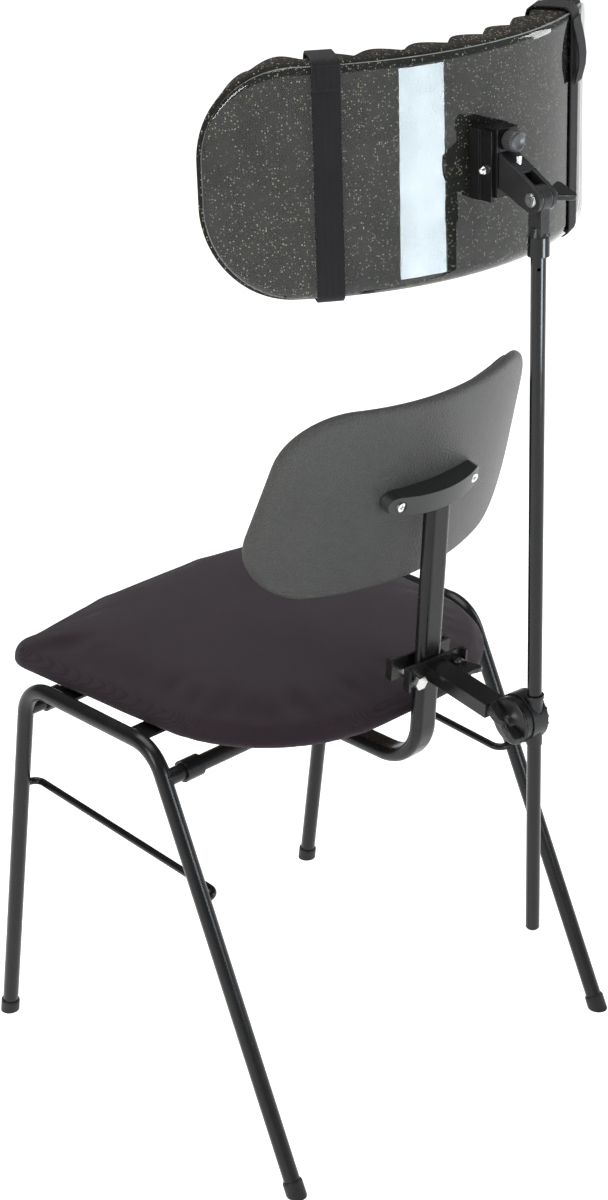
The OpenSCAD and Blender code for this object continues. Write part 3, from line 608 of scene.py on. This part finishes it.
rings = [(s, 14, 10.5) for s in (0.05, 0.3, 0.55, 0.8, 1.0)]
rings += [(1, inset, depth) for inset, depth in PAD_RIM]
rings += [(s, 14, 22.6 - 2.8 * s ** 2.6) for s in (0.92, 0.84, 0.74, 0.64, 0.52, 0.4, 0.28, 0.16, 0.05)]
pad = piece("back_pad_upholstery", loops_mesh(back_loops(rings)), BACK, "pad_fabric", "chair",
            ("back_pad",))


def pad_held(c):
    """The pad is glued to the shell."""
    q = BACK_IN @ c * 1000
    depth = BACK_R - math.hypot(q.x, q.y + BACK_R)
    return 1.0 if depth < 14 else max(0.0, 1 - (depth - 14) / 5)


puffed(pad, voxel=4.5, cap=2.4, held=pad_held)


def welt(name, points, radius, slot, body, place, sides=8):
    """A round cord sewn into a seam, along closed local points."""
    rows = []
    for i, at in enumerate(points):
        p = Vector(at)
        d = (Vector(points[(i + 1) % len(points)]) - Vector(points[i - 1])).normalized()
        u = d.cross(Vector((0, 0, 1)))
        u = u.normalized() if u.length > 0.1 else d.cross(Vector((1, 0, 0))).normalized()
        w = d.cross(u)
        row = []
        for k in range(sides):
            a = 2 * math.pi * k / sides
            row.append(tuple(p + radius * (math.cos(a) * u + math.sin(a) * w)))
        rows.append(row)
    return piece(name, ring_mesh(rows), place, slot, body)


# where the pad's cover meets the shell
seam = [on_back(x, v, 11.4) for x, v in outline(BACK_CIRCLES, 6.9, 5.0)]
welt("back_pad_welt", seam, 1.2, "pad_fabric", "chair", BACK)


# ---------- shield ----------
def on_plate(s, v, depth):
    """Point of the shield: s along its arc, v up from its middle, depth in from its outer face."""
    a = s / PLATE_R
    r = PLATE_R - depth
    return (r * math.sin(a), r * math.cos(a) - PLATE_R - SHIELD_REACH, SHIELD_Z + v)


def half_height(s, grow):
    over = max(0.0, abs(s) - (PLATE_ARC / 2 + grow - PLATE_C))
    return PLATE_H / 2 + grow * 0.4 - PLATE_C + math.sqrt(max(0.0, PLATE_C ** 2 - over ** 2))


def columns(grow, pitch):
    """Places along the arc: even in the middle, closer towards the round ends."""
    hx = PLATE_ARC / 2 + grow - PLATE_C
    flat = int(2 * hx / pitch)
    ends = 36
    end = [hx + PLATE_C * math.sin(math.pi / 2 * k / ends) for k in range(1, ends + 1)]
    middle = [-hx + 2 * hx * k / flat for k in range(flat + 1)]
    return [-s for s in reversed(end)] + middle + end


def curved_slab(grow, pitch, rows, outer, inner):
    """A closed slab: each column runs up its outer face and down its inner face, by depth."""
    verts = []
    cols = columns(grow, pitch)
    for s in cols:
        h = half_height(s, grow)
        steps = [-1 + 2 * k / rows for k in range(rows + 1)]
        verts += [on_plate(s, h * t, outer(s, abs(t))) for t in steps]
        verts += [on_plate(s, -h * t, inner(s, abs(t))) for t in steps]
    n = 2 * (rows + 1)
    faces = []
    for j in range(len(cols) - 1):
        a, b = j * n, (j + 1) * n
        faces += [(a + i, a + (i + 1) % n, b + (i + 1) % n, b + i) for i in range(n)]
    last = (len(cols) - 1) * n
    faces += [tuple(range(n))[::-1], tuple(last + i for i in range(n))]
    return verts, faces


plate = piece("clear_shield_plate", curved_slab(0, 6.0, 24, lambda s, t: 0.0, lambda s, t: PLATE_T),
              MAST, "clear_plate", "shield", ("shield_plate",))
plate.data.materials.append(plate_edge_painted_light)
# the rim faces take the painted pale edge colour
for f in plate.data.polygons:
    out = f.center - SHIELD_HUB.translation
    out.z = 0
    if abs(f.normal.dot(out.normalized())) < 0.7:
        f.material_index = 1
        f.use_smooth = False

FOAM_OUT = PLATE_T + 0.5
FOAM_GROW = 5.0
FOAM_BASE, RIDGE, RIDGES = 19.4, 17.4, 11
SPAN = PLATE_ARC / 2 + 5.4


def ridge_depth(s, t):
    """Inner face of the foam: rounded ridges with pointed valleys, a little uneven."""
    u = (s + SPAN) / (2 * SPAN)
    wave = abs(math.sin(u * RIDGES * math.pi)) ** 0.95
    slow = noise.noise(Vector((s * 0.05, t * 4.0, 3.1)))
    quick = noise.noise(Vector((s * 0.3, t * 22.0, 9.4)))
    edge = max(0.0, t - 0.96) / 0.04
    uneven = (0.5 * slow + 0.25 * quick) * (1 - edge)
    return FOAM_OUT + FOAM_BASE + RIDGE * wave + uneven - 2.2 * edge ** 2


def foam_face(s, t):
    return FOAM_OUT + 1.2 * (max(0.0, t - 0.975) / 0.025) ** 2


foam = piece("ridged_foam", curved_slab(FOAM_GROW, 3.0, 60, foam_face, ridge_depth), MAST,
             "foam_charcoal", "shield", ("shield_foam",))

# ---------- elastic straps ----------
STRAP_HALF = 12.5
STRAP_OUT, STRAP_IN = PLATE_R + 1.7, 255.7
STRAP_TALL = PLATE_H / 2 + 5.8
STRAP_FACE = PLATE_R + 1.9


def strap_run(r_out, r_in, h):
    """Closed run of (r, z) points round the plate and the foam, with rounded corners."""
    rises = [-h + 8, -h * 0.6, -h * 0.2, h * 0.2, h * 0.6, h - 8]
    across = range(1, 6)
    wide = r_out - r_in - 12
    pts = [(r_out, z) for z in rises]
    pts += [(r_out - 1.5, h - 3.5), (r_out - 6, h)]
    pts += [(r_out - 6 - wide * k / 6, h + 0.4 * math.sin(math.pi * k / 6)) for k in across]
    pts += [(r_in + 6, h), (r_in + 1.5, h - 3.5)]
    pts += [(r_in, z) for z in reversed(rises)]
    pts += [(r_in + 1.5, -h + 3.5), (r_in + 6, -h)]
    pts += [(r_in + 6 + wide * k / 6, -h - 0.4 * math.sin(math.pi * k / 6)) for k in across]
    pts += [(r_out - 6, -h), (r_out - 1.5, -h + 3.5)]
    return pts


def band():
    """Flat elastic with thin rounded edges: (x, share) steps across it and back underneath."""
    outer = strap_run(STRAP_OUT, STRAP_IN, STRAP_TALL)
    inner = strap_run(PLATE_R + 0.25, 257.2, STRAP_TALL - 1.4)
    over = [(-12.5, 0.5), (-12.1, 0.12), (-11.4, 0), (-6, 0), (0, 0), (6, 0), (11.4, 0), (12.1, 0.12)]
    under = [(-x, 1 - t) for x, t in over]
    rows = []
    for (ro, zo), (ri, zi) in zip(outer, inner):
        rows.append([(x, ro + (ri - ro) * t, zo + (zi - zo) * t) for x, t in over + under])
    return ring_mesh(rows)


def flat_strip(path, half, thick):
    """A flat strip that follows (r, z) points."""
    over = [(-half, 0.5), (-half + 0.4, 0), (-half + 1.2, 0), (0, 0), (half - 1.2, 0), (half - 0.4, 0)]
    under = [(-x, 1 - t) for x, t in over]
    rows = []
    for i, (r, z) in enumerate(path):
        a, b = path[max(0, i - 1)], path[min(len(path) - 1, i + 1)]
        d = math.dist(a, b) or 1.0
        nr, nz = (b[1] - a[1]) / d, -(b[0] - a[0]) / d
        rows.append([(x, r + nr * thick * (t - 0.5), z + nz * thick * (t - 0.5)) for x, t in over + under])
    return loops_mesh(rows)


def between(a, b, share):
    return tuple(p + (q - p) * share for p, q in zip(a, b))


def stitch(start, end, y):
    """One raised thread from start to end, points (x, z), on the face at y."""
    (x0, z0), (x1, z1) = start, end
    dx, dz = x1 - x0, z1 - z0
    half = 0.32 / math.hypot(dx, dz)
    qx, qz = -dz * half, dx * half
    verts = [(x0 - qx, y, z0 - qz), (x1 - qx, y, z1 - qz), (x1 + qx, y, z1 + qz), (x0 + qx, y, z0 + qz)]
    verts += [(x0 + dx * 0.2, y + 0.35, z0 + dz * 0.2), (x1 - dx * 0.2, y + 0.35, z1 - dz * 0.2)]
    return verts, [(0, 1, 5, 4), (3, 4, 5, 2), (0, 4, 3), (1, 2, 5), (3, 2, 1, 0)]


def overlap_stitches():
    """A sewn rectangle on the overlap of the left strap."""
    corners = [(-11, 84), (11, 84), (11, 104), (-11, 104)]
    out = []
    for k, a in enumerate(corners):
        b = corners[(k + 1) % 4]
        cuts = int(math.dist(a, b) / 2.2)
        for c in range(cuts):
            ends = between(a, b, (c + 0.15) / cuts), between(a, b, (c + 0.8) / cuts)
            out.append(stitch(*ends, STRAP_FACE + 1.35))
    return out


def tail_stitches():
    """One row across the right strap, where its tail starts."""
    starts = [-10 + 2.2 * k for k in range(10)]
    return [stitch((x, 100.0), (x + 1.4, 100.0), STRAP_FACE + 0.2) for x in starts]


def overlap_path():
    up_side = [(STRAP_FACE + 0.7, 82.0 + k) for k in range(24)]
    return up_side + [(STRAP_FACE - 0.5, 107.0), (STRAP_FACE - 4.0, 109.7)]


def tail_path():
    """The loose tail stands off the strap in a shallow bow."""
    bow = [(0.5, 98.0), (1.2, 92.0), (3.2, 84.0), (5.5, 74.0), (6.8, 63.0), (6.2, 52.0), (4.0, 43.0),
           (2.6, 38.0)]
    knots = [(STRAP_FACE + off, z) for off, z in bow]
    fine = [between(a, b, c / 4) for a, b in zip(knots, knots[1:]) for c in range(4)]
    return (fine + [knots[-1]])[::-1]


for side, label in ((1, "left"), (-1, "right")):
    at = SHIELD_HUB @ Matrix.Rotation(-side * STRAP_ARC / PLATE_R, 4, "Z")
    piece("elastic_strap_" + label, band(), at, "elastic_black", "shield", ("strap_" + label,))
    if side > 0:
        strip, strip_name = flat_strip(overlap_path(), 12.6, 1.3), "strap_overlap_left"
        threads = overlap_stitches()
    else:
        strip, strip_name = flat_strip(tail_path(), 12.4, 1.3), "strap_tail_right"
        threads = tail_stitches()
    piece(strip_name, strip, at, "elastic_black", "shield")
    piece("strap_stitching_" + label, joined(threads), at, "elastic_black", "shield", mat=thread_mat)


# ---------- knobs, wings and nuts ----------
def mirrored(points):
    """Closed outline from its points at y >= 0, from one end of the X axis side to the other."""
    return points + [(x, -y) for x, y in reversed(points) if y > 0]


# wing knob of the mast holder: a disc with a boss, and a grip across it
disc = [(2.6, 0.5), (2.6, 22.6), (3.2, 23.8), (4.2, 24.0), (5.0, 23.7), (5.6, 22.6), (5.8, 9.5),
        (11.8, 8.6), (12.8, 7.6), (13.0, 5.0), (13.0, 0.5)]
piece("holder_knob_disc", lathe(disc, 72), SWIVEL, "knob_plastic", "holder_knob", ("swivel_knob",))
grip = mirrored([(5, 23.8), (12, 23.8), (15.8, 22.2), (18, 19), (18, 9), (16.6, 4), (14.4, 0)])
bevelled(piece("holder_knob_grip", slab(grip, 4.5), SWIVEL @ turned("X", -32), "knob_plastic",
               "holder_knob"), 1.8)

# wing screw of the clamp; FACE is where its boss meets the plate
FACE = 11.3
STUD_END = -FACE - 7
at = CLAMP @ moved(-28, 0, -1)
boss = [(0.3, 0.5), (0.3, 6.6), (3.0, 6.6), (7.8, 6.2), (9, 5.0), (9.2, 0.5)]
piece("clamp_wing_boss", lathe([(FACE + x, r) for x, r in boss]), at @ turned("Z", 90), "clamp_steel",
      "clamp_screw", ("clamp_wing",))
thread = [(STUD_END + 0.8 + 0.6 * k, 3.0 if k % 2 else 2.65) for k in range(1, 48)]
stud = [(STUD_END, 0.3), (STUD_END, 2.4), (STUD_END + 0.8, 3.0)] + thread + [(FACE + 1.2, 0.3)]
piece("clamp_wing_stud", lathe(stud, 28), at @ turned("Z", 90), "zinc", "clamp_screw")
half_wing = [(0, 26.4), (5, 27.6), (10, 28), (12.6, 26.6), (13.3, 24), (5.2, 8), (5, 4)]
wing = [(-x, FACE + y) for x, y in reversed(half_wing)] + [(x, FACE + y) for x, y in half_wing[1:]]
bevelled(piece("clamp_wing_blade", slab(wing[::-1], 3), at, "clamp_steel", "clamp_screw"), 1.3)

# wing screw of the tilt joint
at = MAST @ moved(0, 0, TILT_Z)
boss = [(-17.5, 0.5), (-17.5, 5.4), (-16.6, 6.7), (-15.4, 7.0), (-11.2, 7.0), (-10.5, 6.6), (-10.5, 0.5)]
piece("tilt_wing_boss", lathe(boss, 48, 16, 0.35, (3, 4)), at, "knob_plastic", "tilt_screw",
      ("tilt_wing",))
wing = mirrored([(-13, 5), (-20, 7.6), (-31.4, 12.8), (-34.6, 12.4), (-36, 10), (-35.8, 4), (-35.2, 0)])
bevelled(piece("tilt_wing_blade", slab(wing[::-1], 3), at @ turned("X", -18), "knob_plastic",
               "tilt_screw"), 1.3)

# round lock knob of the bracket
at = MAST @ moved(0, 0, SHIELD_Z + 24) @ turned("Z", 90)
knob = [(-49, 0.3), (-49, 2.2), (-48.4, 2.5), (-40.2, 2.5), (-40.2, 7.6), (-39.6, 8.0), (-38.2, 8.0),
        (-38, 9.0), (-37.2, 9.6), (-33, 9.6), (-28.2, 9.6), (-27.2, 9.2), (-26.6, 8.6), (-25.8, 7.6),
        (-25.6, 6.2), (-26.1, 5.6), (-26.1, 0.3)]
piece("lock_knob_knurled", lathe(knob, 120, 24, 0.7, (8, 9, 10)), at, "grey_knob", "bracket_knob",
      ("lock_knob",))


def hex_loop(x, flats):
    """Hexagon with its corners turned down, in a plane across local X."""
    out = []
    for k in range(36):
        a = math.pi / 18 * k
        from_flat = (a + math.pi / 6) % (math.pi / 3) - math.pi / 6
        r = min(flats / 2 / math.cos(from_flat), flats * 0.565)
        out.append((x, r * math.cos(a), r * math.sin(a)))
    return out


def round_loop(x, r):
    return [(x, r * math.cos(math.pi / 18 * k), r * math.sin(math.pi / 18 * k)) for k in range(36)]


# cross bolt of the bracket: dome nut at one end, round head at the other
at = MAST @ moved(0, -53, SHIELD_Z - 3)
dome = [round_loop(16, 0.4), hex_loop(16, 7.6), hex_loop(16.4, 8.0), hex_loop(18.1, 8.0)]
dome += [round_loop(18.5, 4.0), round_loop(18.7, 3.6)]
dome += [round_loop(18.5 + 3.6 * math.sin(a), 3.6 * math.cos(a)) for a in (0.25, 0.5, 0.75, 1.0, 1.25, 1.45)]
bolt = [(-18.5, 0.4), (-18.5, 3.6), (-18.1, 4.4), (-17.2, 4.6), (-16, 4.6), (-16, 2.5), (0, 2.5),
        (16, 2.5), (16, 0.4)]
head = [round_loop(x, r) for x, r in bolt]
piece("bracket_bolt_detail", joined([loops_mesh(dome), loops_mesh(head)]), at, "bright_screw", "shield",
      ("bracket_bolt",))

# ---------- floor and light ----------
paper = Tree("floor_paper")
paper.put(paper.mix(paper.noise(3.0), rgb(0.60, 0.60, 0.60), rgb(0.64, 0.64, 0.64)),
          paper.bsdf.inputs["Base Color"])
paper.put(paper.span(paper.noise(60.0), 0.3, 0.7, 0.8, 0.95), paper.bsdf.inputs["Roughness"])
paper.bsdf.inputs["Specular IOR Level"].default_value = 0.1
paper.bsdf.inputs["Emission Color"].default_value = (1.0, 1.0, 1.0, 1.0)
paper.bsdf.inputs["Emission Strength"].default_value = 0.95
paper.bump(paper.noise(240.0), 0.05, 0.0005)
FLOOR = 150
me = bpy.data.meshes.new("floor")
me.from_pydata([(-FLOOR, -FLOOR, 0), (FLOOR, -FLOOR, 0), (FLOOR, FLOOR, 0), (-FLOOR, FLOOR, 0)],
               [], [(0, 1, 2, 3)])
me.materials.append(paper.mat)
floor = bpy.data.objects.new("floor", me)
scene.collection.objects.link(floor)

# a white cyclorama low down, darker above
world = bpy.data.worlds.new("studio")
scene.world = world
world.use_nodes = True
sky = world.node_tree
sky_coord = sky.nodes.new("ShaderNodeTexCoord")
sky_split = sky.nodes.new("ShaderNodeSeparateXYZ")
sky_range = sky.nodes.new("ShaderNodeMapRange")
for socket, value in (("From Min", 0.0), ("From Max", 0.2), ("To Min", 1.0), ("To Max", 0.2)):
    sky_range.inputs[socket].default_value = value
sky.links.new(sky_coord.outputs["Generated"], sky_split.inputs[0])
sky.links.new(sky_split.outputs["Z"], sky_range.inputs["Value"])
sky.links.new(sky_range.outputs["Result"], sky.nodes["Background"].inputs["Strength"])
sky.nodes["Background"].inputs["Color"].default_value = (0.97, 0.98, 1.0, 1.0)


def softbox(name, place, target, width, height, power, colour=(1, 1, 1), spread=180):
    data = bpy.data.lights.new(name, "AREA")
    data.shape = "RECTANGLE"
    data.size, data.size_y = width, height
    data.energy = power
    data.color = colour
    data.spread = math.radians(spread)
    o = bpy.data.objects.new(name, data)
    scene.collection.objects.link(o)
    o.location = place
    o.rotation_euler = (target - place).to_track_quat("-Z", "Y").to_euler()
    o.visible_camera = False


MIDDLE = P(0, 60, 620)
softbox("overhead", P(0, -300, 3000), MIDDLE, 2.2, 2.2, 60)
softbox("key", P(2900, 300, 1700), MIDDLE, 0.7, 1.8, 40)
softbox("back_rim", P(-2600, 1200, 1500), MIDDLE, 0.6, 1.8, 22)
# the narrow bluish box that the clear plate mirrors as a stripe
softbox("plate_stripe", P(-181, 1438, 683), P(0, 344, 1000), 0.43, 0.42, 4.6, (0.80, 0.92, 1.0), 120)
